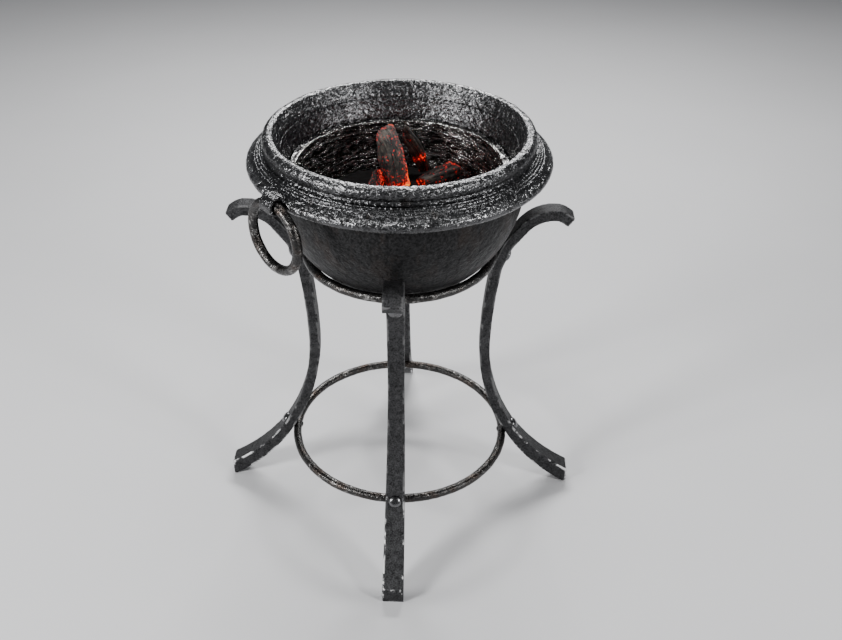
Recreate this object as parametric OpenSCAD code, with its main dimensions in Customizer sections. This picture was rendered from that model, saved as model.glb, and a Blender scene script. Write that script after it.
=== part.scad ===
// Coal forge: a round fire bowl with a moulded rim, carried by a forged stand on four splayed legs.
// The origin is on the floor under the middle of the bowl. +Z is up and the front leg points to -Y.
// Profiles are drawn as [radius, height] and either turned about Z or extruded across a leg.

/* [Legs] */
// Width of the flat bar at the top of the leg
leg_width = 32; // [28:1:34]
// Width of the leg at its waist
waist_width = 28; // [26:1:30]
// Width of the leg at the foot
foot_width = 38; // [32:1:40]
// Thickness of the flat bar
leg_thickness = 19; // [16:1:20]
// Radius from the middle of the stand to the centre of the bar at the narrow waist
waist_radius = 155; // [150:1:160]
// Height of the waist
waist_height = 329; // [320:1:335]
// Radius at which the feet are cut off
foot_reach = 332; // [325:1:338]

/* [Rings] */
// Radius of the round bar of both rings
ring_bar_radius = 8; // [7:0.5:8]
// Radius of the rivet shanks
rivet_radius = 4; // [3:0.5:4]

/* [Bowl] */
// Outer radius of the bowl
bowl_radius = 207; // [205:1:209]
// Thickness of the bowl's wall
bowl_wall = 8; // [7:0.5:8]
// Height of the seat between the bowl and the flange ring
seat_height = 684; // [682:1:686]

/* [Rim] */
// Radius of the flange's outer bead
flange_bead_radius = 9; // [8:0.5:9]
// Outer radius of the flange
flange_radius = 247.3; // [245:0.1:249]
// Radius of the rolled edge on the rim
roll_radius = 12; // [10:0.5:12]
// Outer radius of the rolled edge
rim_radius = 220; // [218:1:221]

/* [Handles] */
// Radius of the round bar of the handles
handle_bar_radius = 8; // [6:0.5:8]
// Radius of a handle's ring, to the centre of its bar
handle_ring_radius = 55; // [50:1:58]
// Smallest clearance of a handle's curved bar in its lug
lug_clearance = 0.3; // [0.3:0.05:0.6]

/* [Fire] */
// Radius of the fire grate
grate_radius = 154.5; // [150:0.5:155]
// Height of the top of the grate
grate_top = 596; // [592:1:597]

/* [Hidden] */
$fn = 96;

// Azimuths of the legs and of the two handles, counted from +X
FRONT = -90;
RIGHT = 0;
BACK = 90;
LEFT = 180;
HANDLE_LEFT = 225;
HANDLE_RIGHT = 45;

// A leg is bent along a path of stretches that starts at the waist, where it is upright.
// Each stretch is [bend radius, turn in degrees], or [0, length] where it is straight.
FOOT_PATH = [[380, 32], [342, 29]];
ARM_PATH = [[1011, 9], [40, 11], [0, 36], [40, 16], [0, 36], [64.5, 54], [30, 35], [0, 12]];
// The ring stations on those paths, each as [x, y, heading]
LOWER_STATION = after([waist_radius, 0, 0], FOOT_PATH[0]);
UPPER_STATION = after(after(after([waist_radius, 0, 0], ARM_PATH[0]), ARM_PATH[1]), [0, 20]);
// The bar grows thicker below the lower ring, up to this much at the foot
FOOT_THICKNESS = 30;
BEND_STEP = 4;

// How far a ring's centre stands off a leg's centre line, and the ring circles that follow
RING_OFFSET = leg_thickness / 2 + ring_bar_radius;
LOWER_RING = [LOWER_STATION[0] - RING_OFFSET * cos(LOWER_STATION[2]),
    waist_height - LOWER_STATION[1] - RING_OFFSET * sin(LOWER_STATION[2])];
UPPER_RING = [UPPER_STATION[0] - RING_OFFSET * cos(UPPER_STATION[2]),
    waist_height + UPPER_STATION[1] + RING_OFFSET * sin(UPPER_STATION[2])];

// Rivet heads: [radius, height] outside the leg, and peened on the ring bar
DOME_HEAD = [11.5, 6];
PEENED_HEAD = [6.5, 3.5];
// Depth of the flat that seats the peened head
PEEN_FLAT = 1.5;

// The bowl's round side rests on the upper ring with a hair of clearance
REST_GAP = 0.3;
REST_DISTANCE = bowl_radius + ring_bar_radius + REST_GAP;
BOWL_CENTRE = UPPER_RING[1] + sqrt(REST_DISTANCE * REST_DISTANCE - UPPER_RING[0] * UPPER_RING[0]);
// Below that contact the side turns in with a smaller radius to a flat base
REST_ANGLE = acos(UPPER_RING[0] / REST_DISTANCE);
BASE_BEND = 147;
BASE_CENTRE = [(bowl_radius - BASE_BEND) * cos(REST_ANGLE),
    BOWL_CENTRE - (bowl_radius - BASE_BEND) * sin(REST_ANGLE)];

// Heights of the ledge that carries the firepot and of the seam under the rim collar
LEDGE_HEIGHT = seat_height - 8;
SEAM_HEIGHT = seat_height + 32;
SPIGOT_DEPTH = 16;
SPIGOT_GAP = 0.5;
// Inner radii of the flange ring: at the ledge, above it, and at the seam
LEDGE_RADIUS = 174.5;
THROAT_RADIUS = 180.5;
SEAM_RADIUS = 190;
// Tongue that centres the rim collar: inner radius, outer radius and height
TONGUE = [200, 208, 4];
BEAD_CENTRE = [flange_radius - flange_bead_radius, seat_height + flange_bead_radius];
ROLL_CENTRE = [rim_radius - roll_radius, seat_height + 46];

// The pivot of a handle as [radius, height], and the lug's sizes
PIVOT = [256, 696.5];
LUG_BACK = 240;
LUG_HALF_WIDTH = 13.5;
LUG_KNUCKLE = 15;
// Where the block behind the knuckle starts below the pivot, and how tall it is
LUG_BLOCK = [-9, 22];
TENON_RADIUS = 5;
TENON_LENGTH = 18;
TENON_RISE = -3;
// The ring's bar curves down by this much at the ends of the lug, and the straight bore allows for it
BAR_SAG = handle_ring_radius - sqrt(pow(handle_ring_radius, 2) - pow(LUG_HALF_WIDTH, 2));
LUG_BORE = handle_bar_radius + BAR_SAG + lug_clearance;

GRATE_THICKNESS = 8;
GRATE_SLOTS = 7;
SLOT_PITCH = 32;
SLOT_WIDTH = 12;
ASH_TOP = grate_top + 7;
ASH_RADIUS = 151;
FIREPOT_WALL = 6;
FIREPOT_RADIUS = 168;
FIREPOT_RIDGE = 2;

// Logs as chains of [x, y, z, radius], from the foot of each log to its tip
TALL_LOG = [[2, 14, 622, 21], [-14, 58, 662, 25], [-27, 104, 688, 19]];
BEHIND_LOG = [[42, 114, 609, 11], [25, 114, 652, 13], [5, 116, 686, 11]];
LYING_LOG = [[32, 44, 619, 15], [66, 68, 622, 18], [93, 88, 627, 16]];
LOW_LOG = [[-47, 14, 617, 13], [-40, 38, 624, 13], [-39, 60, 632, 10]];
LUMPS = 16;

// --- Paths and profiles ---

// The state [x, y, heading] at the end of a stretch. The heading is counted outward from the upright.
function after(state, stretch) = stretch[0] == 0
    ? [state[0] + stretch[1] * sin(state[2]), state[1] + stretch[1] * cos(state[2]), state[2]]
    : [state[0] + stretch[0] * (cos(state[2]) - cos(state[2] + stretch[1])),
       state[1] + stretch[0] * (sin(state[2] + stretch[1]) - sin(state[2])), state[2] + stretch[1]];

// The stations along one stretch, without its end
function steps(state, stretch) = let (count = stretch[0] == 0 ? 1 : ceil(stretch[1] / BEND_STEP))
    [for (i = [0:count - 1]) after(state, [stretch[0], stretch[1] * i / count])];

// All the stations along a path
function stations(state, path, i = 0) = i == len(path) ? [state]
    : concat(steps(state, path[i]), stations(after(state, path[i]), path, i + 1));

// Half the bar's thickness at a station of the foot
function foot_half(s) = let (start = LOWER_STATION[2], end = FOOT_PATH[0][1] + FOOT_PATH[1][1])
    (leg_thickness + (FOOT_THICKNESS - leg_thickness) * max(0, s[2] - start) / (end - start)) / 2;

// The point beside a station, on its outer side when the distance is positive
function beside(s, distance) = [s[0] + distance * cos(s[2]), s[1] - distance * sin(s[2])];

// Points on an arc about a centre
function arc(centre, radius, from, to, count = 12) = [for (i = [0:count])
    centre + radius * [cos(from + (to - from) * i / count), sin(from + (to - from) * i / count)]];

function reversed(list) = [for (i = [len(list) - 1:-1:0]) list[i]];

// Points on a quadratic curve from one point to another, drawn towards a third
function curve(from, towards, to, count = 8) = [for (i = [0:count]) let (t = i / count)
    (1 - t) * (1 - t) * from + 2 * t * (1 - t) * towards + t * t * to];

// --- Stand ---

// A leg's side view: the arm runs up from the waist and the foot runs down from it
module leg_outline() {
    arm = stations([waist_radius, 0, 0], ARM_PATH);
    foot = stations([waist_radius, 0, 0], FOOT_PATH);
    half = leg_thickness / 2;
    arm_outer = [for (s = arm) beside(s, half) + [0, waist_height]];
    arm_inner = [for (s = arm) beside(s, -half) + [0, waist_height]];
    foot_outer = [for (i = [1:len(foot) - 1]) let (p = beside(foot[i], foot_half(foot[i])))
        [p[0], waist_height - p[1]]];
    foot_inner = [for (i = [1:len(foot) - 1]) let (p = beside(foot[i], -foot_half(foot[i])))
        [p[0], waist_height - p[1]]];
    intersection() {
        polygon(concat(reversed(arm_outer), foot_outer, reversed(foot_inner), arm_inner));
        square([foot_reach, seat_height]);
    }
}

// Places children at a ring station: +X points out of the leg's outer face
module at_lower_station() translate([LOWER_STATION[0], 0, waist_height - LOWER_STATION[1]])
    rotate([0, -LOWER_STATION[2], 0]) children();
module at_upper_station() translate([UPPER_STATION[0], 0, waist_height + UPPER_STATION[1]])
    rotate([0, UPPER_STATION[2], 0]) children();

module rivet_hole() translate([-50, 0, 0]) rotate([0, 90, 0]) cylinder(r = rivet_radius, h = 100);

// A leg's front view: narrowest at the waist and widest at the foot
module leg_front_view() polygon([[-foot_width / 2, 0], [foot_width / 2, 0], [waist_width / 2, waist_height],
    [leg_width / 2, seat_height + 1], [-leg_width / 2, seat_height + 1], [-waist_width / 2, waist_height]]);

module leg(side) color([0.16, 0.16, 0.17]) rotate([0, 0, side]) difference() {
    intersection() {
        rotate([90, 0, 0]) linear_extrude(foot_width + 10, center = true) leg_outline();
        rotate([90, 0, 90]) linear_extrude(foot_reach + 10) leg_front_view();
    }
    at_upper_station() rivet_hole();
    at_lower_station() rivet_hole();
    // A shallow flat seats the lower rivet's head, because the bar is curved there
    at_lower_station() translate([leg_thickness / 2, 0, 0]) rotate([0, 90, 0])
        cylinder(r = DOME_HEAD[0] + 0.5, h = 5);
}

module leg_front() leg(FRONT);
module leg_right() leg(RIGHT);
module leg_back() leg(BACK);
module leg_left() leg(LEFT);

// Inner end of a rivet's shank, measured from the leg's centre line
RIVET_END = RING_OFFSET + ring_bar_radius - PEEN_FLAT;

// A round head's outline from its rim to its crown, standing on a height
function head_outline(size, height) = [for (i = [0:10])
    [size[0] * cos(9 * i), height + size[1] * sin(9 * i)]];

// A rivet along +X: a domed head outside the leg, and inside the ring a peened head or a flush end
module rivet(peened) rotate([0, 90, 0]) rotate_extrude() polygon(concat(
    peened ? [for (p = reversed(head_outline(PEENED_HEAD, RIVET_END))) [p[0], -p[1]]] : [[0, -RIVET_END]],
    [[rivet_radius, -RIVET_END], [rivet_radius, leg_thickness / 2]],
    head_outline(DOME_HEAD, leg_thickness / 2)));

// What a rivet takes out of a ring: its hole and the flat under its peened head
module ring_cut() {
    rivet_hole();
    translate([-RIVET_END - 10, 0, 0]) rotate([0, 90, 0]) cylinder(r = PEENED_HEAD[0] + 0.5, h = 10);
}

module hoop(circle_at) rotate_extrude() translate([circle_at[0], 0]) circle(r = ring_bar_radius);

module upper_ring() color([0.22, 0.17, 0.14]) difference() {
    translate([0, 0, UPPER_RING[1]]) hoop(UPPER_RING);
    for (side = [0:90:270]) rotate([0, 0, side]) at_upper_station() ring_cut();
}

module lower_ring() color([0.22, 0.17, 0.14]) difference() {
    translate([0, 0, LOWER_RING[1]]) hoop(LOWER_RING);
    for (side = [0:90:270]) rotate([0, 0, side]) at_lower_station() ring_cut();
}

// The upper rivets end flush, because the bowl rests on that ring
module upper_ring_rivets() color([0.3, 0.3, 0.31])
    for (side = [0:90:270]) rotate([0, 0, side]) at_upper_station() rivet(false);
module lower_ring_rivets() color([0.3, 0.3, 0.31])
    for (side = [0:90:270]) rotate([0, 0, side]) at_lower_station() rivet(true);

// --- Bowl ---

// One face of the bowl from its base up to the lip, set in from the outside by a distance
function bowl_face(inset) = concat(
    arc(BASE_CENTRE, BASE_BEND - inset, -90, -REST_ANGLE, 14),
    arc([0, BOWL_CENTRE], bowl_radius - inset, -REST_ANGLE, 0, 14),
    [[bowl_radius - inset, seat_height]]);

module bowl() color([0.13, 0.13, 0.14]) rotate_extrude() polygon(concat(
    [[0, BASE_CENTRE[1] - BASE_BEND]], bowl_face(0),
    reversed(bowl_face(bowl_wall)), [[0, BASE_CENTRE[1] - BASE_BEND + bowl_wall]]));

// The flange's sloping top, cut by three fine grooves, from the outer bead up to the seam
SLOPE_FOOT = BEAD_CENTRE + flange_bead_radius * [cos(70), sin(70)];
SLOPE_HEAD = [222, SEAM_HEIGHT];
GROOVE_DEPTH = 1.4;
function on_slope(t) = SLOPE_FOOT + (SLOPE_HEAD - SLOPE_FOOT) * t;
function groove(t) = [on_slope(t - 0.05), on_slope(t) - [0.5, 1] * GROOVE_DEPTH, on_slope(t + 0.05)];

module flange_ring() color([0.17, 0.17, 0.18]) difference() {
    rotate_extrude() polygon(concat(
        [[LEDGE_RADIUS, seat_height - SPIGOT_DEPTH],
         [bowl_radius - bowl_wall - SPIGOT_GAP, seat_height - SPIGOT_DEPTH],
         [bowl_radius - bowl_wall - SPIGOT_GAP, seat_height]],
        arc(BEAD_CENTRE, flange_bead_radius, -90, 70, 16),
        groove(0.5), groove(0.7), groove(0.91),
        [SLOPE_HEAD,
         [TONGUE[1], SEAM_HEIGHT], [TONGUE[1], SEAM_HEIGHT + TONGUE[2]],
         [TONGUE[0], SEAM_HEIGHT + TONGUE[2]], [TONGUE[0], SEAM_HEIGHT],
         [SEAM_RADIUS, SEAM_HEIGHT], [THROAT_RADIUS + 4, SEAM_HEIGHT - 17],
         [THROAT_RADIUS + 1, LEDGE_HEIGHT + 14], [THROAT_RADIUS, LEDGE_HEIGHT + 9],
         [THROAT_RADIUS, LEDGE_HEIGHT], [LEDGE_RADIUS, LEDGE_HEIGHT]]));
    for (side = [HANDLE_LEFT, HANDLE_RIGHT]) rotate([0, 0, side]) {
        translate([LUG_BACK, -LUG_HALF_WIDTH, seat_height - 10]) cube([20, 2 * LUG_HALF_WIDTH, 40]);
        translate([LUG_BACK - TENON_LENGTH, 0, PIVOT[1] + TENON_RISE]) rotate([0, 90, 0])
            cylinder(r = TENON_RADIUS, h = TENON_LENGTH + 20);
    }
}

module rim_collar() color([0.2, 0.2, 0.21]) rotate_extrude() polygon(concat(
    [[SEAM_RADIUS, SEAM_HEIGHT], [TONGUE[0], SEAM_HEIGHT], [TONGUE[0], SEAM_HEIGHT + TONGUE[2]],
     [TONGUE[1], SEAM_HEIGHT + TONGUE[2]], [TONGUE[1], SEAM_HEIGHT],
     [SLOPE_HEAD[0] - 1, SEAM_HEIGHT], [SLOPE_HEAD[0] - 4, SEAM_HEIGHT + 2]],
    arc(ROLL_CENTRE, roll_radius, -45, 115, 20),
    [for (i = [1:7]) curve(ROLL_CENTRE + roll_radius * [cos(115), sin(115)],
        [SEAM_RADIUS + 4, SEAM_HEIGHT + 12], [SEAM_RADIUS, SEAM_HEIGHT])[i]]));

// The firepot hangs by its flange from the ledge, and its inner foot carries the grate
module firepot() color([0.11, 0.11, 0.12]) {
    foot = grate_top - GRATE_THICKNESS;
    waist = foot + 14;
    low = grate_radius + 2;
    high = LEDGE_HEIGHT - 14;
    rotate_extrude() polygon(concat(
        [[low - 10, foot - 8], [low + FIREPOT_WALL, foot - 8], [low + FIREPOT_WALL, waist],
         [FIREPOT_RADIUS + FIREPOT_WALL, high], [FIREPOT_RADIUS + FIREPOT_WALL, LEDGE_HEIGHT],
         [THROAT_RADIUS - 0.5, LEDGE_HEIGHT], [THROAT_RADIUS - 0.5, LEDGE_HEIGHT + 7]],
        arc([FIREPOT_RADIUS + 1, LEDGE_HEIGHT + 4], 3, 90, 250, 8),
        [[FIREPOT_RADIUS, LEDGE_HEIGHT], [FIREPOT_RADIUS, high + 6]],
        arc([FIREPOT_RADIUS, high + 3], FIREPOT_RIDGE, 90, 270, 6),
        [[FIREPOT_RADIUS, high], [low, waist], [low, foot], [low - 10, foot]]));
}

// --- Handles ---

// Places children at a handle's pivot: X runs out from the bowl and Y along the hinge
module at_pivot(side) rotate([0, 0, side]) translate([PIVOT[0], 0, PIVOT[1]]) children();

module handle_lug(side) color([0.19, 0.19, 0.2]) at_pivot(side) difference() {
    union() {
        rotate([90, 0, 0]) cylinder(r = LUG_KNUCKLE, h = 2 * LUG_HALF_WIDTH, center = true);
        translate([LUG_BACK - PIVOT[0], -LUG_HALF_WIDTH, LUG_BLOCK[0]])
            cube([PIVOT[0] - LUG_BACK, 2 * LUG_HALF_WIDTH, LUG_BLOCK[1]]);
        translate([LUG_BACK - PIVOT[0] - TENON_LENGTH, 0, TENON_RISE]) rotate([0, 90, 0])
            cylinder(r = TENON_RADIUS, h = TENON_LENGTH + 2);
    }
    rotate([90, 0, 0]) cylinder(r = LUG_BORE, h = 3 * LUG_HALF_WIDTH, center = true);
}

module handle_lug_left() handle_lug(HANDLE_LEFT);
module handle_lug_right() handle_lug(HANDLE_RIGHT);

// A plain round ring that hangs straight down, with its bar passing through the lug's bore at the top
module handle(side) color([0.22, 0.19, 0.17]) at_pivot(side) translate([0, 0, -handle_ring_radius])
    rotate([0, 90, 0]) rotate_extrude()
        translate([handle_ring_radius, 0]) circle(r = handle_bar_radius);

module handle_left() handle(HANDLE_LEFT);
module handle_right() handle(HANDLE_RIGHT);

// --- Fire ---

module fire_grate() color([0.1, 0.1, 0.1]) translate([0, 0, grate_top - GRATE_THICKNESS]) difference() {
    cylinder(r = grate_radius, h = GRATE_THICKNESS);
    for (i = [0:GRATE_SLOTS - 1]) {
        across = (i - (GRATE_SLOTS - 1) / 2) * SLOT_PITCH;
        reach = sqrt(pow(grate_radius - 16, 2) - across * across);
        translate([across - SLOT_WIDTH / 2, -reach, -1]) cube([SLOT_WIDTH, 2 * reach, GRATE_THICKNESS + 2]);
    }
}

module ash_bed() color([0.2, 0.19, 0.18]) translate([0, 0, grate_top])
    cylinder(r = ASH_RADIUS, h = ASH_TOP - grate_top);

// One many-sided length of wood between two stations
module log_length(a, b) {
    run = [b[0] - a[0], b[1] - a[1], b[2] - a[2]];
    translate([a[0], a[1], a[2]]) rotate([0, acos(run[2] / norm(run)), atan2(run[1], run[0])])
        cylinder(r1 = a[3], r2 = b[3], h = norm(run), $fn = 10);
}

module log(chain) color([0.25, 0.21, 0.18]) {
    for (i = [0:len(chain) - 2]) log_length(chain[i], chain[i + 1]);
    for (i = [1:len(chain) - 2]) translate([chain[i][0], chain[i][1], chain[i][2]])
        sphere(r = chain[i][3], $fn = 10);
}

module log_tall() log(TALL_LOG);
module log_behind() log(BEHIND_LOG);
module log_lying() log(LYING_LOG);
module log_low() log(LOW_LOG);

// Lumps of charcoal in a loose ring in front of and beside the logs, each turned its own way
module charcoal() color([0.12, 0.1, 0.1]) for (i = [0:LUMPS - 1]) {
    side = 10 + 4 * (i % 3);
    reach = 60 + 24 * (i % 2);
    azimuth = 215 + 10 * i;
    translate([reach * cos(azimuth) + 4, reach * sin(azimuth) + 14, ASH_TOP + 0.8 * side])
        rotate([25 * i, 40 * i, 65 * i]) cube([side, side * 0.9, side * 0.8], center = true);
}

leg_front();
leg_right();
leg_back();
leg_left();
upper_ring();
lower_ring();
upper_ring_rivets();
lower_ring_rivets();
bowl();
flange_ring();
rim_collar();
firepot();
handle_lug_left();
handle_lug_right();
handle_left();
handle_right();
fire_grate();
ash_bed();
charcoal();
log_tall();
log_behind();
log_lying();
log_low();
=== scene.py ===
# Coal forge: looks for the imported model. Sizes are in metres unless a name ends in _mm.
import math
import bmesh
import bpy
import numpy as np
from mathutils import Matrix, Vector


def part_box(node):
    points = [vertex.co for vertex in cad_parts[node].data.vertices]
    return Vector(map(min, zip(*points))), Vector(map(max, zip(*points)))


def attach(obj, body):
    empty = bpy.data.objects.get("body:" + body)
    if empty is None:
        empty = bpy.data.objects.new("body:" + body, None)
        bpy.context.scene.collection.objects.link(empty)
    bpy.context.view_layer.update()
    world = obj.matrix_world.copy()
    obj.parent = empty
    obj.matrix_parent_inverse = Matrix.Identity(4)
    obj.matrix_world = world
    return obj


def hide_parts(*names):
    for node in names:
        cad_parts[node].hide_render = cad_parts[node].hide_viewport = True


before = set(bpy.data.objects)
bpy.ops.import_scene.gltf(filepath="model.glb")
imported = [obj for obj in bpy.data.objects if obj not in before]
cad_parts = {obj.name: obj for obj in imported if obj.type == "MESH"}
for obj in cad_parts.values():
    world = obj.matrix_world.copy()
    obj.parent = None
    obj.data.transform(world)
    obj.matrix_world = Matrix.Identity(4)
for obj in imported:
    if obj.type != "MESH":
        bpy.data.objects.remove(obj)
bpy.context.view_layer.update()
MM = 0.001


# --- Camera, floor and light ---

def look_at(obj, target):
    obj.rotation_euler = (Vector(target) - obj.location).to_track_quat("-Z", "Y").to_euler()


def make_camera():
    data = bpy.data.cameras.new("camera")
    data.lens = 42.106
    data.sensor_width = 36
    data.shift_x = 0.02546
    camera = bpy.data.objects.new("camera", data)
    camera.location = (0.0536, -1.4620, 1.3805)
    camera.rotation_euler = (math.radians(55.332), 0, math.radians(2.10))
    bpy.context.collection.objects.link(camera)
    bpy.context.scene.camera = camera


def area_light(name, place, target, size, energy):
    data = bpy.data.lights.new(name, "AREA")
    data.shape = "RECTANGLE"
    data.size, data.size_y = size
    data.energy = energy
    light = bpy.data.objects.new(name, data)
    light.location = place
    bpy.context.collection.objects.link(light)
    look_at(light, target)


def make_light():
    world = bpy.data.worlds.new("studio")
    bpy.context.scene.world = world
    world.use_nodes = True
    world.node_tree.nodes["Background"].inputs["Color"].default_value = (0.80, 0.82, 0.86, 1)
    world.node_tree.nodes["Background"].inputs["Strength"].default_value = 0.15
    # Two front lights meet the inner back slope, the back light meets the rolled edge, the top one the bead
    area_light("front_left", (-2.1, -1.4, 1.55), (0, 0, 0.68), (0.55, 0.7), 82)
    area_light("front_right", (2.1, -1.4, 1.50), (0, 0, 0.68), (0.45, 0.6), 44)
    area_light("back", (0.1, 2.2, 2.3), (0, 0, 0.72), (2.0, 0.40), 100)
    area_light("top", (0, 0.4, 3.0), (0, -0.1, 0.70), (1.2, 0.20), 16)


# --- Noise on arrays of points ---

def lattice(i, j, k, seed):
    n = (i * 73856093) ^ (j * 19349663) ^ (k * 83492791) ^ (seed * 2654435761)
    n = n & 0xffffffff
    n = ((n ^ (n >> 15)) * 2246822519) & 0xffffffff
    n = ((n ^ (n >> 13)) * 3266489917) & 0xffffffff
    return ((n ^ (n >> 16)) & 0xffffffff) / 4294967295.0


def smooth_noise(p, seed):
    cell = np.floor(p).astype(np.int64)
    f = p - cell
    f = f * f * (3 - 2 * f)
    total = np.zeros(len(p))
    for a in (0, 1):
        for b in (0, 1):
            for c in (0, 1):
                weight = (np.abs(1 - a - f[:, 0]) * np.abs(1 - b - f[:, 1]) * np.abs(1 - c - f[:, 2]))
                total += weight * lattice(cell[:, 0] + a, cell[:, 1] + b, cell[:, 2] + c, seed)
    return total * 2 - 1


def fractal(p, size, octaves=3, seed=1, gain=0.5):
    """Noise from about -1 to 1, whose largest features are about size across."""
    total = np.zeros(len(p))
    weight = 1.0
    scale = 1.0 / size
    norm = 0.0
    for o in range(octaves):
        total += weight * smooth_noise(p * scale + 17.3 * o, seed + o)
        norm += weight
        weight *= gain
        scale *= 2.03
    return total / norm


def dents(p, size, seed):
    """Distance to the nearest of a set of scattered points, in units of size: 0 in a dent's middle."""
    q = p / size
    cell = np.floor(q).astype(np.int64)
    best = np.full(len(p), 9.0)
    for a in (-1, 0, 1):
        for b in (-1, 0, 1):
            for c in (-1, 0, 1):
                i, j, k = cell[:, 0] + a, cell[:, 1] + b, cell[:, 2] + c
                x = i + lattice(i, j, k, seed) - q[:, 0]
                y = j + lattice(i, j, k, seed + 7) - q[:, 1]
                z = k + lattice(i, j, k, seed + 13) - q[:, 2]
                best = np.minimum(best, x * x + y * y + z * z)
    return np.sqrt(best)


# --- Mesh building ---

def make_object(name, points, quads, body, replaced, attributes=None):
    mesh = bpy.data.meshes.new(name)
    mesh.vertices.add(len(points))
    mesh.vertices.foreach_set("co", np.asarray(points, np.float32).ravel())
    if isinstance(quads, list):
        loops = np.array([v for f in quads for v in f], np.int32)
        totals = np.array([len(f) for f in quads], np.int32)
    else:
        loops = np.asarray(quads, np.int32).ravel()
        totals = np.full(len(quads), quads.shape[1], np.int32)
    starts = np.concatenate([[0], np.cumsum(totals)[:-1]]).astype(np.int32)
    mesh.loops.add(len(loops))
    mesh.loops.foreach_set("vertex_index", loops)
    mesh.polygons.add(len(totals))
    mesh.polygons.foreach_set("loop_start", starts)
    mesh.update(calc_edges=True)
    mesh.validate()
    mesh.polygons.foreach_set("use_smooth", np.ones(len(mesh.polygons), bool))
    for key, values in (attributes or {}).items():
        layer = mesh.attributes.new(key, "FLOAT", "POINT")
        layer.data.foreach_set("value", np.asarray(values, np.float32))
    piece = bpy.data.objects.new(name, mesh)
    bpy.context.collection.objects.link(piece)
    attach(piece, body)
    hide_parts(*replaced)
    return piece


def dense(profile, step):
    """A closed outline with a point at least every step."""
    out = []
    for a, b in zip(profile, profile[1:] + profile[:1]):
        a, b = np.array(a, float), np.array(b, float)
        count = max(1, int(math.ceil(np.linalg.norm(b - a) / step)))
        out += [a + (b - a) * i / count for i in range(count)]
    return np.array(out)


def round_corners(outline, passes):
    """Softens an outline's sharp corners a little, as casting does."""
    for _ in range(passes):
        outline = 0.25 * np.roll(outline, 1, 0) + 0.5 * outline + 0.25 * np.roll(outline, -1, 0)
    return outline


def lathe(name, profile_mm, step_mm, segments, relief, body, replaced, soften=2, rubbed_and_highlight=None):
    """Turns a closed outline [radius, height] in mm about Z, and moves its points along their normals by
    relief(points) in mm. The last argument says from 0 to 1 how bright each point is painted:
    bright wear together with a painted highlight."""
    outline = round_corners(dense(profile_mm, step_mm), soften)
    rows = len(outline)
    after, before = np.roll(outline, -1, 0), np.roll(outline, 1, 0)
    along = after - before
    normal = np.stack([along[:, 1], -along[:, 0]], 1)
    normal /= np.linalg.norm(normal, axis=1)[:, None] + 1e-9
    area = 0.5 * np.sum(outline[:, 0] * after[:, 1] - after[:, 0] * outline[:, 1])
    if area < 0:
        normal = -normal
    angle = np.linspace(0, 2 * np.pi, segments, endpoint=False)
    c, s = np.cos(angle)[:, None], np.sin(angle)[:, None]

    def turned(pairs):
        return np.stack([c * pairs[:, 0], s * pairs[:, 0], np.ones_like(c) * pairs[:, 1]], 2).reshape(-1, 3)

    points = turned(outline)
    points = points + turned(normal) * relief(points)[:, None]
    i = np.arange(segments)[:, None] * rows
    j = np.arange(rows)[None, :]
    i2 = (np.arange(segments)[:, None] + 1) % segments * rows
    j2 = (j + 1) % rows
    quads = np.stack([i + j, i2 + j, i2 + j2, i + j2], 2).reshape(-1, 4)
    if area < 0:
        quads = quads[:, ::-1]
    attributes = {"rubbed_and_highlight": rubbed_and_highlight(points)} if rubbed_and_highlight else None
    return make_object(name, points * MM, quads, body, replaced, attributes)


def arc(centre, radius, start, end, count=16):
    return [(centre[0] + radius * math.cos(math.radians(start + (end - start) * i / count)),
             centre[1] + radius * math.sin(math.radians(start + (end - start) * i / count)))
            for i in range(count + 1)]


# --- Materials ---

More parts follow.
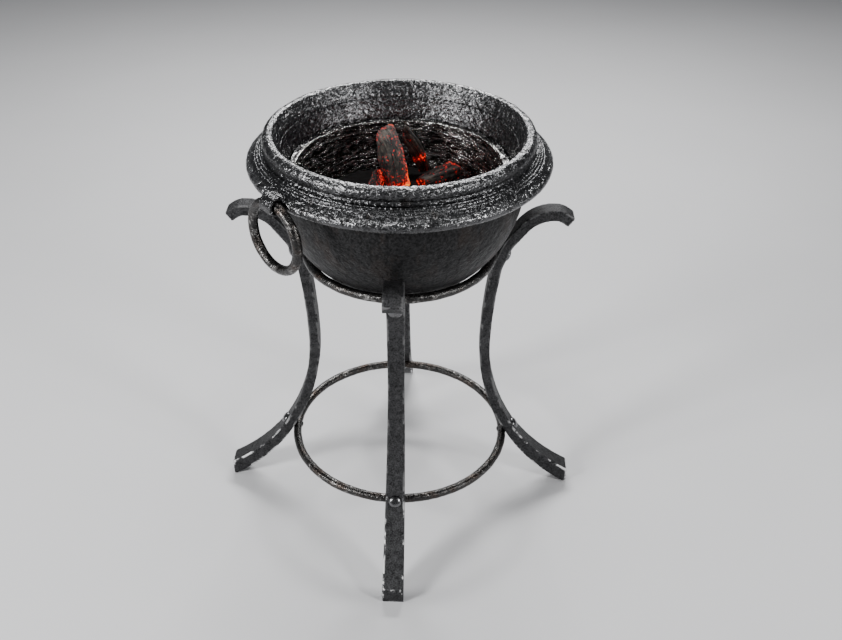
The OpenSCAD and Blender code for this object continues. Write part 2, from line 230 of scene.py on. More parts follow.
class Shader:
    """A procedural material built from small named steps."""

    def __init__(self, name):
        self.material = bpy.data.materials.new(name)
        self.material.use_nodes = True
        self.tree = self.material.node_tree
        self.surface = self.tree.nodes["Principled BSDF"]
        self.place = self.tree.nodes.new("ShaderNodeTexCoord").outputs["Object"]

    def link(self, a, b):
        self.tree.links.new(a, b)

    def put(self, socket, value):
        """Links a socket, or sets a plain value on the input itself."""
        if hasattr(value, "links"):
            self.link(value, socket)
        else:
            socket.default_value = value

    def stretched(self, x, y, z):
        node = self.tree.nodes.new("ShaderNodeMapping")
        node.inputs["Scale"].default_value = (x, y, z)
        self.link(self.place, node.inputs["Vector"])
        return node.outputs["Vector"]

    def noise(self, size, detail, roughness, distortion=0.0, vector=None):
        """Noise from 0 to 1 whose features are about size metres across."""
        node = self.tree.nodes.new("ShaderNodeTexNoise")
        node.inputs["Scale"].default_value = 1 / size
        node.inputs["Detail"].default_value = detail
        node.inputs["Roughness"].default_value = roughness
        node.inputs["Distortion"].default_value = distortion
        self.link(vector or self.place, node.inputs["Vector"])
        return node.outputs["Fac"]

    def ramp(self, fac, stops):
        """Maps fac through stops of (position, grey level or colour)."""
        node = self.tree.nodes.new("ShaderNodeValToRGB")
        elements = node.color_ramp.elements
        elements.remove(elements[1])
        elements[0].position = stops[0][0]
        for at, colour in stops[1:]:
            elements.new(at)
        for i, (at, colour) in enumerate(stops):
            elements[i].color = (*colour, 1) if isinstance(colour, tuple) else (colour, colour, colour, 1)
        self.link(fac, node.inputs["Fac"])
        return node.outputs["Color"]

    def math(self, operation, a, b=0.0):
        node = self.tree.nodes.new("ShaderNodeMath")
        node.operation = operation
        self.put(node.inputs[0], a)
        self.put(node.inputs[1], b)
        return node.outputs["Value"]

    def mix(self, fac, a, b):
        """Colour a where fac is 0, colour b where it is 1."""
        node = self.tree.nodes.new("ShaderNodeMix")
        node.data_type = "RGBA"
        self.put(node.inputs["Factor"], fac)
        self.put(node.inputs["A"], a if hasattr(a, "links") else (*a, 1))
        self.put(node.inputs["B"], b if hasattr(b, "links") else (*b, 1))
        return node.outputs["Result"]

    def height(self):
        """Height above the floor in metres, in the object's own frame."""
        node = self.tree.nodes.new("ShaderNodeSeparateXYZ")
        self.link(self.place, node.inputs["Vector"])
        return node.outputs["Z"]

    def edges(self, low, high):
        """1 where the surface turns sharply outwards."""
        geometry = self.tree.nodes.new("ShaderNodeNewGeometry")
        return self.ramp(geometry.outputs["Pointiness"], [(low, 0.0), (high, 1.0)])

    def crease(self, fac, width):
        """0 along thin lines where the noise crosses its middle, 1 elsewhere."""
        return self.ramp(self.math("ABSOLUTE", self.math("SUBTRACT", fac, 0.5)), [(0.0, 0.0), (width, 1.0)])

    def attribute(self, name):
        node = self.tree.nodes.new("ShaderNodeAttribute")
        node.attribute_name = name
        return node.outputs["Fac"]

    def bump(self, height, distance, strength, under=None):
        """Relief of up to distance metres, laid over the relief under it."""
        node = self.tree.nodes.new("ShaderNodeBump")
        node.inputs["Strength"].default_value = strength
        node.inputs["Distance"].default_value = distance
        self.link(height, node.inputs["Height"])
        if under is not None:
            self.link(under, node.inputs["Normal"])
        return node.outputs["Normal"]

    def finish(self, colour, roughness, normal, metallic):
        self.put(self.surface.inputs["Base Color"], colour)
        self.put(self.surface.inputs["Roughness"], roughness)
        self.surface.inputs["Metallic"].default_value = metallic
        self.link(normal, self.surface.inputs["Normal"])
        return self.material


def rim_iron():
    """Coarse glossy casting, crumpled all over, with bright wear and painted glints on the crests of bead
    and roll.
    """
    m = Shader("rim_iron")
    crumple = m.noise(0.0082, detail=2, roughness=0.5, distortion=0.9, vector=m.stretched(0.85, 0.85, 1.2))
    grain = m.noise(0.0030, detail=3, roughness=0.6, distortion=0.6)
    patches = m.noise(0.055, detail=4, roughness=0.6)
    base = m.mix(patches, (0.062, 0.062, 0.064), (0.125, 0.125, 0.128))
    # Painted shade: the crumples' hollows are darkened towards near black
    base = m.mix(m.ramp(crumple, [(0.32, 0.6), (0.42, 0.0)]), base, (0.030, 0.030, 0.030))
    # Painted highlight, partly wear: the bead's and roll's crests and the crumples' crests are painted
    # bright
    rubbed_and_highlight = m.math("MULTIPLY", m.attribute("rubbed_and_highlight"), m.ramp(crumple, [(0.42, 0.15), (0.56, 1.0)]))
    worn_and_highlit = m.mix(rubbed_and_highlight, base, (0.50, 0.50, 0.505))
    rust = m.ramp(m.noise(0.035, detail=5, roughness=0.7), [(0.60, 0.0), (0.76, 0.5)])
    colour = m.mix(rust, worn_and_highlit, (0.070, 0.050, 0.038))
    rough = m.ramp(grain, [(0.3, 0.18), (0.7, 0.34)])
    normal = m.bump(grain, 0.0006, 0.8, m.bump(crumple, 0.0040, 0.9))
    return m.finish(colour, rough, normal, metallic=1.0)


def bowl_iron():
    """Smoother dark casting with faint rust and a fine grain."""
    m = Shader("bowl_iron")
    grain = m.noise(0.0042, detail=4, roughness=0.6)
    wave = m.noise(0.011, detail=4, roughness=0.5, distortion=0.5)
    streak = m.noise(0.03, detail=4, roughness=0.6, distortion=0.3, vector=m.stretched(1, 1, 0.35))
    base = m.mix(m.ramp(grain, [(0.38, 0.0), (0.62, 1.0)]), (0.002, 0.002, 0.0021), (0.022, 0.022, 0.023))
    rust = m.ramp(streak, [(0.52, 0.0), (0.70, 0.6)])
    colour = m.mix(rust, base, (0.030, 0.021, 0.017))
    speck = m.ramp(m.noise(0.0016, detail=2, roughness=0.5), [(0.66, 0.0), (0.72, 0.5)])
    colour = m.mix(speck, colour, (0.13, 0.125, 0.12))
    rough = m.ramp(wave, [(0.3, 0.40), (0.7, 0.64)])
    normal = m.bump(grain, 0.0024, 0.9, m.bump(wave, 0.0056, 0.9))
    m.surface.inputs["Specular IOR Level"].default_value = 0.20
    return m.finish(colour, rough, normal, metallic=0.35)


def pot_iron():
    """Sooty casting with level wrinkles burnt into it."""
    m = Shader("pot_iron")
    level = m.stretched(0.42, 0.42, 1.9)
    wrinkle = m.noise(0.0080, detail=3, roughness=0.55, distortion=1.2, vector=level)
    crease = m.crease(m.noise(0.020, detail=3, roughness=0.6, distortion=1.0, vector=level), 0.030)
    grain = m.noise(0.0030, detail=3, roughness=0.6)
    # Painted highlight: the wrinkles' crests are painted bright as glints
    colour = m.mix(m.ramp(wrinkle, [(0.44, 0.0), (0.60, 1.0)]), (0.030, 0.029, 0.029), (0.420, 0.414, 0.408))
    # Painted shade along the thin bumped creases
    colour = m.mix(crease, (0.006, 0.006, 0.006), colour)
    patches = m.ramp(m.noise(0.012, detail=3, roughness=0.6, distortion=0.8), [(0.40, 0.1), (0.56, 1.0)])
    # Painted highlight, partly wear: patches on the lip and the level ridge are painted bright
    colour = m.mix(m.math("MULTIPLY", m.attribute("rubbed_and_highlight"), patches), colour, (0.52, 0.51, 0.50))
    rough = m.ramp(grain, [(0.3, 0.10), (0.7, 0.26)])
    normal = m.bump(grain, 0.0006, 0.7, m.bump(wrinkle, 0.0075, 0.9, m.bump(crease, 0.0012, 0.8)))
    return m.finish(colour, rough, normal, metallic=1.0)


def forged_iron():
    """Matt forge scale over the flats, chipped bright along the edges."""
    m = Shader("forged_iron")
    grain = m.noise(0.0024, detail=4, roughness=0.6, distortion=0.3)
    scale = m.noise(0.010, detail=4, roughness=0.6, distortion=0.4)
    both = m.math("ADD", m.math("MULTIPLY", grain, 0.6), m.math("MULTIPLY", scale, 0.4))
    base = m.mix(m.ramp(both, [(0.38, 0.0), (0.62, 1.0)]), (0.010, 0.010, 0.0105), (0.078, 0.078, 0.081))
    # The chips gather where the foot scrapes the ground and on the tip of the arm
    low = m.ramp(m.height(), [(0.10, 1.0), (0.16, 0.15), (0.62, 0.15), (0.66, 0.8)])
    gaps = m.ramp(m.noise(0.040, detail=5, roughness=0.7, distortion=0.5), [(0.50, 0.0), (0.55, 1.0)])
    chip = m.math("MULTIPLY", m.edges(0.508, 0.530), m.math("MULTIPLY", gaps, low))
    colour = m.mix(chip, base, (0.80, 0.80, 0.80))
    lengthways = m.stretched(2.5, 2.5, 0.25)
    scratch = m.noise(0.006, detail=4, roughness=0.7, distortion=0.2, vector=lengthways)
    colour = m.mix(m.ramp(scratch, [(0.68, 0.0), (0.74, 0.35)]), colour, (0.20, 0.19, 0.19))
    rough = m.ramp(scale, [(0.3, 0.42), (0.7, 0.66)])
    normal = m.bump(grain, 0.0016, 0.9, m.bump(scale, 0.0024, 0.7))
    return m.finish(colour, rough, normal, metallic=0.85)


def ring_iron():
    """Round bar, dark with a brown tint, polished in streaks."""
    m = Shader("ring_iron")
    grain = m.noise(0.0024, detail=4, roughness=0.6, distortion=0.5)
    patch = m.noise(0.030, detail=5, roughness=0.6, distortion=0.6)
    base = m.mix(grain, (0.018, 0.018, 0.018), (0.080, 0.078, 0.076))
    rust = m.ramp(patch, [(0.48, 0.0), (0.68, 0.6)])
    colour = m.mix(rust, base, (0.060, 0.040, 0.030))
    bright = m.ramp(m.noise(0.014, detail=5, roughness=0.7, distortion=0.8), [(0.56, 0.0), (0.66, 0.7)])
    colour = m.mix(bright, colour, (0.36, 0.35, 0.34))
    rough = m.ramp(grain, [(0.3, 0.18), (0.7, 0.40)])
    normal = m.bump(grain, 0.0010, 0.8, m.bump(patch, 0.0022, 0.6))
    return m.finish(colour, rough, normal, metallic=0.95)


def rivet_steel():
    """Bright rivet heads with a fine grain."""
    m = Shader("rivet_steel")
    grain = m.noise(0.0018, detail=4, roughness=0.6)
    base = m.mix(m.noise(0.006, detail=3, roughness=0.5), (0.06, 0.06, 0.062), (0.24, 0.24, 0.245))
    rough = m.ramp(grain, [(0.3, 0.16), (0.7, 0.34)])
    return m.finish(base, rough, m.bump(grain, 0.0003, 0.5), metallic=1.0)


def ember(m, heat, fine):
    """Adds a glow where heat and the fine noise are both high."""
    spread = m.math("MULTIPLY", m.math("SUBTRACT", fine, 0.5), 2.0)
    level = m.math("ADD", m.math("MULTIPLY", heat, 0.7), spread)
    glow = m.ramp(level, [(0.43, 0.0), (0.47, (0.60, 0.006, 0.003)), (0.62, (1.0, 0.020, 0.008)),
                          (0.80, (1.0, 0.14, 0.006)), (0.92, (1.0, 0.50, 0.03))])
    m.link(glow, m.surface.inputs["Emission Color"])
    m.surface.inputs["Emission Strength"].default_value = 1.5


def charred_wood():
    """Burnt wood: grey-brown fibres, black cracks, and embers along its edges."""
    m = Shader("charred_wood")
    grain = m.tree.nodes.new("ShaderNodeCombineXYZ")
    m.link(m.math("MULTIPLY", m.attribute("along"), 0.16), grain.inputs["X"])
    m.link(m.attribute("round"), grain.inputs["Y"])
    m.link(m.attribute("seed"), grain.inputs["Z"])
    fibre = m.noise(0.0036, detail=6, roughness=0.68, distortion=0.5, vector=grain.outputs["Vector"])
    split = m.noise(0.0085, detail=3, roughness=0.6, distortion=0.7, vector=grain.outputs["Vector"])
    blotch = m.noise(0.016, detail=4, roughness=0.6, distortion=0.4)
    colour = m.mix(m.ramp(fibre, [(0.38, 0.0), (0.64, 1.0)]), (0.012, 0.010, 0.009), (0.125, 0.108, 0.088))
    colour = m.mix(m.ramp(blotch, [(0.46, 0.0), (0.60, 0.9)]), colour, (0.014, 0.011, 0.010))
    cracks = m.ramp(split, [(0.40, 0.0), (0.47, 1.0)])
    colour = m.mix(cracks, (0.008, 0.007, 0.007), colour)
    ember(m, m.attribute("ember_heat"), m.noise(0.0036, detail=3, roughness=0.7, distortion=0.6))
    normal = m.bump(fibre, 0.0028, 0.9, m.bump(cracks, 0.0022, 0.8))
    return m.finish(colour, 0.86, normal, metallic=0.0)


def charcoal_lumps():
    """Small burnt lumps, some of them lit."""
    m = Shader("charcoal")
    fine = m.noise(0.0036, detail=5, roughness=0.65, distortion=0.6)
    patch = m.noise(0.020, detail=3, roughness=0.5)
    colour = m.mix(fine, (0.010, 0.009, 0.009), (0.090, 0.078, 0.072))
    sparks = m.noise(0.0052, detail=4, roughness=0.7, distortion=0.5)
    ember(m, m.ramp(patch, [(0.44, 0.10), (0.68, 0.86)]), sparks)
    return m.finish(colour, m.ramp(fine, [(0.3, 0.5), (0.7, 0.9)]), m.bump(fine, 0.0014, 0.9), metallic=0.0)


def ash():
    """Dark smooth ash and clinker, with a few embers near the logs."""
    m = Shader("ash")
    fine = m.noise(0.0030, detail=5, roughness=0.65)
    wave = m.noise(0.028, detail=4, roughness=0.55, distortion=0.4)
    colour = m.mix(m.ramp(wave, [(0.35, 0.0), (0.68, 1.0)]), (0.003, 0.0028, 0.0028), (0.012, 0.011, 0.0105))
    colour = m.mix(m.ramp(fine, [(0.64, 0.0), (0.78, 0.5)]), colour, (0.045, 0.041, 0.039))
    ember(m, m.attribute("ember_heat"), m.noise(0.0046, detail=4, roughness=0.7, distortion=0.4))
    return m.finish(colour, 0.88, m.bump(fine, 0.0010, 0.8, m.bump(wave, 0.0040, 0.6)), metallic=0.0)


def pale_floor():
    """A plain matt studio floor."""
    m = Shader("pale_floor")
    wave = m.noise(0.6, detail=4, roughness=0.5)
    colour = m.mix(wave, (0.60, 0.60, 0.61), (0.68, 0.68, 0.69))
    return m.finish(colour, 0.7, m.bump(m.noise(0.01, detail=3, roughness=0.5), 0.0004, 0.2), metallic=0.0)


def paint(piece, material):
    piece.data.materials.clear()
    piece.data.materials.append(material)


# --- CAD pieces that keep their shape and gain a forged surface ---

def clouds(name, size):
    texture = bpy.data.textures.new(name, "CLOUDS")
    texture.noise_scale = size
    texture.noise_depth = 3
    return texture


WAVE_MIDDLE = 0.62      # the texture level that leaves a surface where it is, so that waves mostly cut in


def forge_surface(node, material, voxel, smooth, waves):
    """Rebuilds the node's surface finely, softens its edges and adds hammer waves of (texture, depth)."""
    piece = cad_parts[node]
    remesh = piece.modifiers.new("fine", "REMESH")
    remesh.mode = "VOXEL"
    remesh.voxel_size = voxel
    remesh.use_smooth_shade = True
    if smooth:
        soften = piece.modifiers.new("soften", "SMOOTH")
        soften.factor = 0.5
        soften.iterations = smooth
    for i, (texture, depth) in enumerate(waves):
        wave = piece.modifiers.new("wave_%d" % i, "DISPLACE")
        wave.texture = texture
        wave.texture_coords = "LOCAL"
        wave.strength = depth
        wave.mid_level = WAVE_MIDDLE
    paint(piece, material)


# --- The cast bowl and its rim. Sizes are in mm ---

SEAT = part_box("bowl")[1].z * 1000   # the bowl's top edge, which carries the flange ring
SEAM = SEAT + 32                    # where the rim collar sits on the flange ring
LEDGE = SEAT - 8                    # what the firepot hangs from
GRATE_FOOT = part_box("fire_grate")[0].z * 1000

BOWL_WALL = 8.0
AXIS_GAP = 3.0          # the hole a turned outline leaves at the axis
BALL_DROP = 20.3        # the ball's middle below the seat
REST_ANGLE = 42.07      # degrees below level where the ball rests on the upper ring
BASE_BEND = 147.0

BEAD_RADIUS = 9
BEAD_END = 70           # degrees above level where the bead runs into the slope
SLOPE_TOP = 222.0
GROOVES = (0.5, 0.7, 0.91)
GROOVE_REACH = 0.05     # half a groove's width, as a share of the slope
GROOVE_CUT = (0.7, 1.5)
SPIGOT_BORE, SPIGOT_RADIUS, SPIGOT_DEPTH = 174.5, 198.5, 16
RIM_BORE = 190.0
TONGUE = [(208, SEAM), (208, SEAM + 4), (200, SEAM + 4), (200, SEAM)]

ROLL = (208.0, SEAT + 46)
ROLL_RADIUS = 12
ROLL_START, ROLL_END = -45, 115

POT_FOOT, POT_OUTSIDE, POT_BORE, POT_LIP = 156.5, 174, 168, 180
POT_WALL = 6
POT_STEP = LEDGE - 14   # the level ridge where the wall starts to narrow
POT_WAIST = GRATE_FOOT + 14


def rise(value, start, width):
    """0 up to start, then a straight climb to 1 over width."""
    return np.clip((value - start) / width, 0, 1)


def fall(value, start, width):
    """1 up to start, then a straight drop to 0 over width."""
    return np.clip(1 - (value - start) / width, 0, 1)


def patchy(points, middle, size, seed):
    """Strong in some places and weak in others, to break up the bright wear and painted highlight."""
    return np.clip(middle + 0.9 * fractal(points, size, 2, seed), 0, 1)


def crumples(points, size, seed):
    """Sharp-crested wrinkles, from about -1 in the creases to 1 on the crests."""
    return np.clip(1 - 5.0 * np.abs(fractal(points, size, 2, seed, 0.45)), -1, 1)


def rim_relief(points):
    height = 0.35 * fractal(points, 40, 2, 11)
    height += 0.20 * crumples(points, 17, 21)
    height += 0.26 * fractal(points, 8.5, 2, 27, 0.5)
    height -= 0.30 * np.clip(1 - dents(points, 16, 31) / 0.6, 0, 1) ** 1.5
    return height - 0.25


def bowl_relief(points):
    height = 0.35 * fractal(points, 60, 2, 41) + 0.22 * fractal(points, 15, 3, 51, 0.55)
    return height - 0.30


def pot_relief(points):
    level = points * np.array([0.55, 0.55, 2.2])
    height = 0.9 * crumples(level, 30, 61) + 0.8 * fractal(points, 10, 2, 71)
    return height - 1.0


def close_axis(piece):
    """Closes the small hole left round the axis of a turned shell."""
    mesh = bmesh.new()
    mesh.from_mesh(piece.data)
    rims = [e for e in mesh.edges if e.is_boundary]
    if rims:
        bmesh.ops.contextual_create(mesh, geom=rims)
    mesh.to_mesh(piece.data)
    mesh.free()


def build_bowl(material):
    """The side is a ball down to where it rests on the upper ring. Below that it turns in to the base."""
    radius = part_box("bowl")[1].x * 1000
    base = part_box("bowl")[0].z * 1000
    turn = ((radius - BASE_BEND) * math.cos(math.radians(REST_ANGLE)), base + BASE_BEND)

    def face(inset):
        return (arc(turn, BASE_BEND - inset, -90, -REST_ANGLE, 20)
                + arc((0, SEAT - BALL_DROP), radius - inset, -REST_ANGLE, 0, 24)
                + [(radius - inset, SEAT)])

    outline = ([(AXIS_GAP, base)] + face(0)
               + face(BOWL_WALL)[::-1] + [(AXIS_GAP, base + BOWL_WALL)])
    piece = lathe("bowl_shell", outline, 3.0, 540, bowl_relief, "bowl", ["bowl"])
    close_axis(piece)
    paint(piece, material)


def build_flange(material):
    """An outer bead, a slope with three grooves, and a spigot that drops into the bowl."""
    bead = (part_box("flange_ring")[1].x * 1000 - BEAD_RADIUS, SEAT + BEAD_RADIUS)
    foot = np.array(arc(bead, BEAD_RADIUS, BEAD_END, BEAD_END, 1)[0])
    head = np.array([SLOPE_TOP, SEAM])

    def on_slope(t):
        return foot + (head - foot) * t

    def groove(t):
        bottom = on_slope(t) - GROOVE_CUT
        return [tuple(on_slope(t - GROOVE_REACH)), tuple(bottom), tuple(on_slope(t + GROOVE_REACH))]

    # Bright wear and painted highlight along the bead's outer crest
    def bead_wear_and_highlight(points):
        above = points[:, 2] - bead[1]
        outward = np.hypot(points[:, 0], points[:, 1]) - bead[0]
        crest = rise(above, 1, 6) * fall(above, 9, 3) * rise(outward, -3, 5)
        return crest * patchy(points, 0.55, 45, 97)

    spigot_foot = SEAT - SPIGOT_DEPTH
    outline = [(SPIGOT_BORE, spigot_foot), (SPIGOT_RADIUS, spigot_foot), (SPIGOT_RADIUS, SEAT)]
    outline += arc(bead, BEAD_RADIUS, -90, BEAD_END, 18)
    for t in GROOVES:
        outline += groove(t)
    outline += [(SLOPE_TOP, SEAM)] + TONGUE + [(RIM_BORE, SEAM)]
    # The bore narrows from the rim down to the ledge
    outline += [(184.5, SEAM - 17), (181.5, LEDGE + 14), (180.5, LEDGE + 9), (180.5, LEDGE)]
    outline += [(SPIGOT_BORE, LEDGE)]
    paint(lathe("flange_casting", outline, 1.5, 760, rim_relief, "bowl", ["flange_ring"],
                1, bead_wear_and_highlight), material)


def build_rim(material):
    """A rolled edge and an inner slope, centred on the flange ring by the tongue."""
    start = arc(ROLL, ROLL_RADIUS, ROLL_END, ROLL_END, 1)[0]
    pull, end = (194.0, SEAM + 12), (RIM_BORE, SEAM)
    steps = [i / 12 for i in range(1, 12)]
    slope = [tuple((1 - t) ** 2 * start[k] + 2 * t * (1 - t) * pull[k] + t * t * end[k] for k in (0, 1))
             for t in steps]

    # Bright wear and painted highlight on the roll's crest and the inner slope
    def roll_wear_and_highlight(points):
        radius = np.hypot(points[:, 0], points[:, 1])
        crest = rise(points[:, 2] - ROLL[1], 2, 8) * rise(radius - ROLL[0], -10, 6)
        inside = rise(ROLL[0] - radius, 4, 6) * rise(points[:, 2] - SEAM, 2, 8)
        return np.clip(0.45 * crest + 0.22 * inside, 0, 1) * patchy(points, 0.50, 55, 98)

    outline = ([(RIM_BORE, SEAM)] + TONGUE[::-1] + [(221, SEAM), (218, SEAM + 2)]
               + arc(ROLL, ROLL_RADIUS, ROLL_START, ROLL_END, 24) + slope)
    paint(lathe("rim_casting", outline, 1.5, 760, rim_relief, "bowl", ["rim_collar"],
                1, roll_wear_and_highlight), material)


def build_firepot(material):
    """A liner that hangs from the flange ring's ledge. Its foot carries the grate."""
    # Bright wear and painted highlight on the hanging lip and the level ridge
    def lip_wear_and_highlight(points):
        radius = np.hypot(points[:, 0], points[:, 1])
        lip = np.clip(1.5 - np.hypot(radius - 167, points[:, 2] - LEDGE - 5) / 2.6, 0, 1)
        ridge = np.clip(1.7 - np.hypot(radius - 166, points[:, 2] - POT_STEP - 4) / 2.0, 0, 1)
        return np.maximum(lip, ridge)

    outline = [(POT_FOOT - 10, GRATE_FOOT - 8), (POT_FOOT + POT_WALL, GRATE_FOOT - 8)]
    outline += [(POT_FOOT + POT_WALL, POT_WAIST), (POT_OUTSIDE, POT_STEP), (POT_OUTSIDE, LEDGE)]
    outline += [(POT_LIP, LEDGE), (POT_LIP, LEDGE + 7)] + arc((POT_BORE + 1, LEDGE + 4), 3, 90, 250, 10)
    outline += [(POT_BORE, LEDGE), (POT_BORE, POT_STEP + 6)]
    outline += arc((POT_BORE, POT_STEP + 3), 2, 90, 270, 10) + [(POT_BORE, POT_STEP)]
    outline += [(POT_FOOT, POT_WAIST), (POT_FOOT, GRATE_FOOT), (POT_FOOT - 10, GRATE_FOOT)]
    paint(lathe("firepot_casting", outline, 1.8, 620, pot_relief, "bowl", ["firepot"],
                1, lip_wear_and_highlight), material)


# --- Fire ---

def chain_path(chain, count):
    """Smooth points and radii along a chain of (x, y, z, radius)."""
    knots = np.array(chain, float)
    knots = np.vstack([2 * knots[0] - knots[1], knots, 2 * knots[-1] - knots[-2]])
    out = []
    for t in np.linspace(0, len(chain) - 1, count):
        i = min(int(t), len(chain) - 2)
        f = t - i
        a, b, c, d = knots[i:i + 4]
        out.append(0.5 * ((2 * b) + (c - a) * f + (2 * a - 5 * b + 4 * c - d) * f * f
                          + (3 * b - a - 3 * c + d) * f ** 3))
    return np.array(out)


def directions(centre):
    """Unit vectors along a path, and two square to it."""
    tangent = np.gradient(centre, axis=0)
    tangent /= np.linalg.norm(tangent, axis=1)[:, None]
    side = np.cross(tangent, [0.0, 0.0, 1.0])
    side /= np.linalg.norm(side, axis=1)[:, None]
    return tangent, side, np.cross(side, tangent)


def tube_faces(rows, around):
    """Quads between neighbouring rings of points."""
    faces = []
    for i in range(rows - 1):
        for j in range(around):
            k = (j + 1) % around
            faces.append((i * around + j, i * around + k, (i + 1) * around + k, (i + 1) * around + j))
    return faces


def log_section(t, angle, along, radius, split, seed):
    """A split log's outline as a share of its radius, with its fibres and lumps."""
    ring = np.stack([np.cos(angle) * radius, np.sin(angle) * radius, along], 2).reshape(-1, 3)
    fibres = fractal(ring * np.array([1, 1, 0.16]), 5.5, 3, seed, 0.6).reshape(t.shape)
    lumps = fractal(ring, 17, 2, seed + 5).reshape(t.shape)
    cracks = np.abs(fractal(ring * np.array([1, 1, 0.8]), 11, 1, seed + 9))
    blocks = np.clip(0.32 - cracks, 0, 1).reshape(t.shape)
    # Round bark on one side and two flat cleft faces
    shape = np.minimum(1.0, 0.70 / np.maximum(0.70, np.cos(angle - split + 0.5 * t)))
    shape = np.minimum(shape, 0.78 / np.maximum(0.78, np.cos(angle - split - 2.1)))
    size = 0.98 * shape * (1 + 0.10 * lumps) + (0.13 * fibres - 0.14 * blocks) * 14 / radius
    # The outline closes in at the broken ends
    nose = np.clip(np.minimum(t, 1 - t) / 0.045, 0, 1) ** 0.6
    return np.clip(size, 0.40, 1.06) * (0.55 + 0.45 * nose), lumps


def log_ends(t, angle, seed):
    """How far each point moves along the log: slivers stand out at the broken ends."""
    around = np.stack([np.cos(angle) * 14, np.sin(angle) * 14, np.sign(t - 0.5) * 40], 2).reshape(-1, 3)
    sliver = 5.0 * fractal(around, 7, 2, seed + 3).reshape(t.shape)
    sliver = sliver * (np.clip(1 - t / 0.12, 0, 1) - np.clip(1 - (1 - t) / 0.12, 0, 1))
    inward = 2.0 * np.clip(1 - t / 0.05, 0, 1)
    inward = inward + 7.0 * np.cos(angle - 0.7) * np.clip(1 - (1 - t) / 0.25, 0, 1)
    return np.abs(sliver) * np.sign(0.5 - t) + inward


def make_log(name, node, chain, seed, split, heat_at):
    """A burnt split log. split turns its flat faces, and heat_at(t, angle, lumps) says where it glows."""
    count, around = 110, 96
    path = chain_path(chain, count)
    centre = path[:, :3]
    tangent, side, up = directions(centre)
    length = np.concatenate([[0], np.cumsum(np.linalg.norm(np.diff(centre, axis=0), axis=1))])
    t, angle = np.meshgrid(np.linspace(0, 1, count),
                           np.linspace(0, 2 * np.pi, around, endpoint=False), indexing="ij")
    along = np.repeat(length[:, None], around, 1)
    radius = np.repeat(path[:, 3][:, None], around, 1)
    size, lumps = log_section(t, angle, along, radius, split, seed)
    points = (centre[:, None, :] + log_ends(t, angle, seed)[..., None] * tangent[:, None, :]
              + (np.cos(angle) * radius * size)[..., None] * side[:, None, :]
              + (np.sin(angle) * radius * size)[..., None] * up[:, None, :])
    caps = [centre[0] + tangent[0] * 6, centre[-1] - tangent[-1] * 6]
    points = np.vstack([points.reshape(-1, 3), caps])
    faces = tube_faces(count, around)
    first, last = count * around, count * around + 1
    for j in range(around):
        k = (j + 1) % around
        faces.append((first, k, j))
        faces.append((last, (count - 1) * around + j, (count - 1) * around + k))
    heat = heat_at(t, angle, lumps)
    attributes = {"along": np.append((along * MM).ravel(), [0, length[-1] * MM]),
                  "round": np.append((angle * radius * MM).ravel(), [0, 0]),
                  "seed": np.full(len(points), 0.013 * seed),
                  "ember_heat": np.append(heat.ravel(), [heat[0].mean(), heat[-1].mean()])}
    return make_object(name, points * MM, faces, "grate", [node], attributes)


def facing(angle, degrees, power):
    """1 on the side of a log at that angle, fading to 0 round it."""
    return np.clip(np.cos(angle - math.radians(degrees)), 0, 1) ** power


def tall_heat(t, angle, lumps):
    right = facing(angle, 20, 4) * (0.34 + 0.80 * fall(t, 0, 0.70))
    tip = rise(t, 0.90, 0.08) * (0.25 + 0.35 * facing(angle, 60, 1))
    left = facing(angle, 168, 10) * np.clip(1 - np.abs(t - 0.86) / 0.12, 0, 1) * 0.45
    foot = fall(t, 0, 0.28) * 0.35
    return np.clip(0.22 + right + tip + left + foot + 0.15 * lumps, 0, 1.05)


def behind_heat(t, angle, lumps):
    band = np.clip(1 - np.abs(t - 0.34) / 0.10, 0, 1)
    return np.clip(0.12 + 0.48 * band + 0.15 * lumps, 0, 1)


def lying_heat(t, angle, lumps):
    end = rise(t, 0.88, 0.12) * 0.58
    over = facing(angle, 140, 4) * rise(t, 0.60, 0.4) * 0.42
    start = fall(t, 0, 0.16) * 0.25
    return np.clip(0.20 + end + over + start + 0.18 * lumps, 0, 1)


def low_heat(t, angle, lumps):
    return np.clip(0.30 + 0.40 * facing(angle, 20, 2) + 0.22 * lumps, 0, 1)


def build_logs(material):
    """Each chain runs from a log's foot to its tip, as (x, y, z, radius)."""
    tall = [(2, 14, 622, 21), (-14, 58, 662, 25), (-27, 104, 688, 19)]
    behind = [(42, 114, 609, 11), (25, 114, 652, 13), (5, 116, 686, 11)]
    lying = [(32, 44, 619, 15), (66, 68, 622, 18), (93, 88, 627, 16)]
    low = [(-47, 14, 617, 13), (-40, 38, 624, 13), (-39, 60, 632, 10)]
    paint(make_log("burning_log_tall", "log_tall", tall, 3, 4.4, tall_heat), material)
    paint(make_log("burning_log_behind", "log_behind", behind, 14, 1.2, behind_heat), material)
    paint(make_log("burning_log_lying", "log_lying", lying, 25, 1.9, lying_heat), material)
    paint(make_log("burning_log_low", "log_low", low, 36, 1.4, low_heat), material)


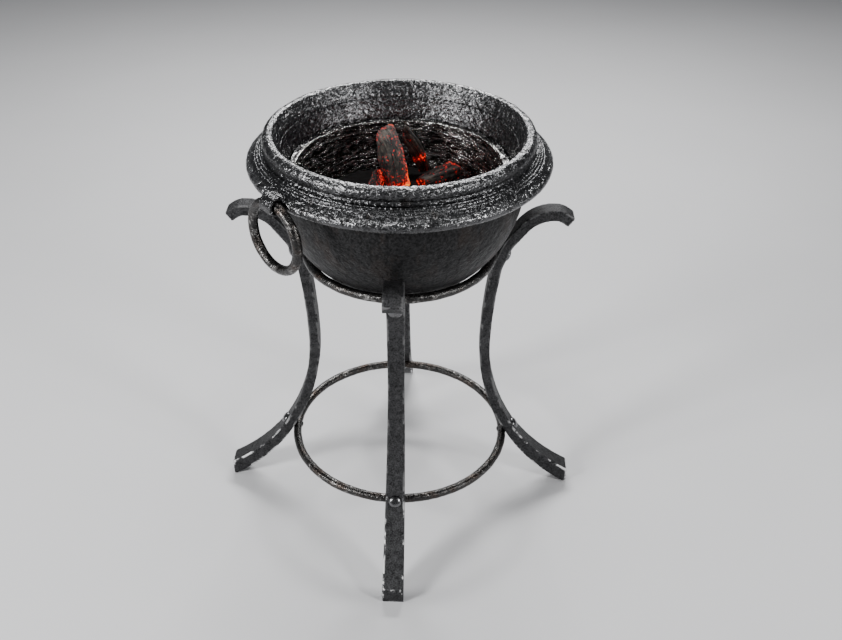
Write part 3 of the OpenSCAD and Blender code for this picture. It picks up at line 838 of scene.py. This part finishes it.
def build_ash(material):
    """A rough bed of ash that thins at its edge, warm round the logs' feet."""
    lo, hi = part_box("ash_bed")
    radius, top, bottom = hi.x * 1000 - 0.5, hi.z * 1000, lo.z * 1000
    rings, around = 90, 300
    level, underside = top - 2.6, bottom + 0.2
    r = np.repeat(np.linspace(2, radius, rings)[:, None], around, 1)
    a = np.repeat(np.linspace(0, 2 * np.pi, around, endpoint=False)[None, :], rings, 0)
    upper = np.stack([r * np.cos(a), r * np.sin(a), np.zeros_like(r)], 2).reshape(-1, 3)
    rough = fractal(upper, 30, 3, 81, 0.55) * 1.6 + fractal(upper, 7, 2, 91) * 0.8
    edge = np.clip((radius - r.ravel()) / 6, 0, 1) ** 0.5
    lower = upper[-around:].copy()
    lower[:, 2] = underside
    upper[:, 2] = level + np.clip(rough, -2.4, 2.4) - 2.0 * (1 - edge)
    points = np.vstack([upper, lower, [[0, 0, level]], [[0, 0, underside]]])
    faces = [(face[0],) + face[:0:-1] for face in tube_faces(rings, around)]
    outer, under = (rings - 1) * around, rings * around
    middle, below = len(points) - 2, len(points) - 1
    for j in range(around):
        k = (j + 1) % around
        faces.append((middle, j, k))
        faces.append((outer + j, under + j, under + k, outer + k))
        faces.append((below, under + k, under + j))
    near = np.hypot(points[:, 0] - 5, points[:, 1] - 30)
    heat = np.clip(0.62 - near / 120, 0.0, 0.62)
    paint(make_object("ash_and_cinders", points * MM, faces, "grate", ["ash_bed"],
                      {"ember_heat": heat}), material)


# --- Putting it together ---

def dress_nodes(materials):
    """The forged, round-bar and charcoal nodes keep their shape and gain a surface."""
    broad, fine, lumpy = clouds("broad_hammer", 0.022), clouds("fine_hammer", 0.006), clouds("lumpy", 0.007)
    for node in ("leg_front", "leg_right", "leg_back", "leg_left"):
        forge_surface(node, materials["forged"], 0.0019, 2, [(broad, 0.0003), (fine, 0.0003)])
    for node in ("upper_ring", "lower_ring"):
        forge_surface(node, materials["ring"], 0.0016, 1, [(broad, 0.0012), (fine, 0.0007)])
    for node in ("handle_left", "handle_right"):
        forge_surface(node, materials["ring"], 0.0012, 1, [(broad, 0.0009), (fine, 0.0006)])
    for node in ("handle_lug_left", "handle_lug_right"):
        forge_surface(node, materials["rim"], 0.0010, 3, [(broad, 0.0008), (fine, 0.0006)])
    for node in ("upper_ring_rivets", "lower_ring_rivets"):
        forge_surface(node, materials["rivet"], 0.0006, 3, [(fine, 0.0003)])
    forge_surface("fire_grate", materials["pot"], 0.0022, 2, [(fine, 0.0010)])
    forge_surface("charcoal", materials["charcoal"], 0.0011, 9, [(lumpy, 0.0050)])


def build_floor():
    reach = 9
    corners = [(-reach, -reach, 0), (reach, -reach, 0), (reach, reach, 0), (-reach, reach, 0)]
    ground = bpy.data.meshes.new("floor")
    ground.from_pydata(corners, [], [(0, 1, 2, 3)])
    floor = bpy.data.objects.new("floor", ground)
    bpy.context.collection.objects.link(floor)
    floor.location.z = -0.0004
    paint(floor, pale_floor())


make_camera()
make_light()

materials = {"rim": rim_iron(), "bowl": bowl_iron(), "pot": pot_iron(), "forged": forged_iron(),
             "ring": ring_iron(), "rivet": rivet_steel(), "wood": charred_wood(),
             "charcoal": charcoal_lumps(), "ash": ash()}
dress_nodes(materials)
build_bowl(materials["bowl"])
build_flange(materials["rim"])
build_rim(materials["rim"])
build_firepot(materials["pot"])
build_logs(materials["wood"])
build_ash(materials["ash"])
build_floor()

bpy.context.view_layer.update()
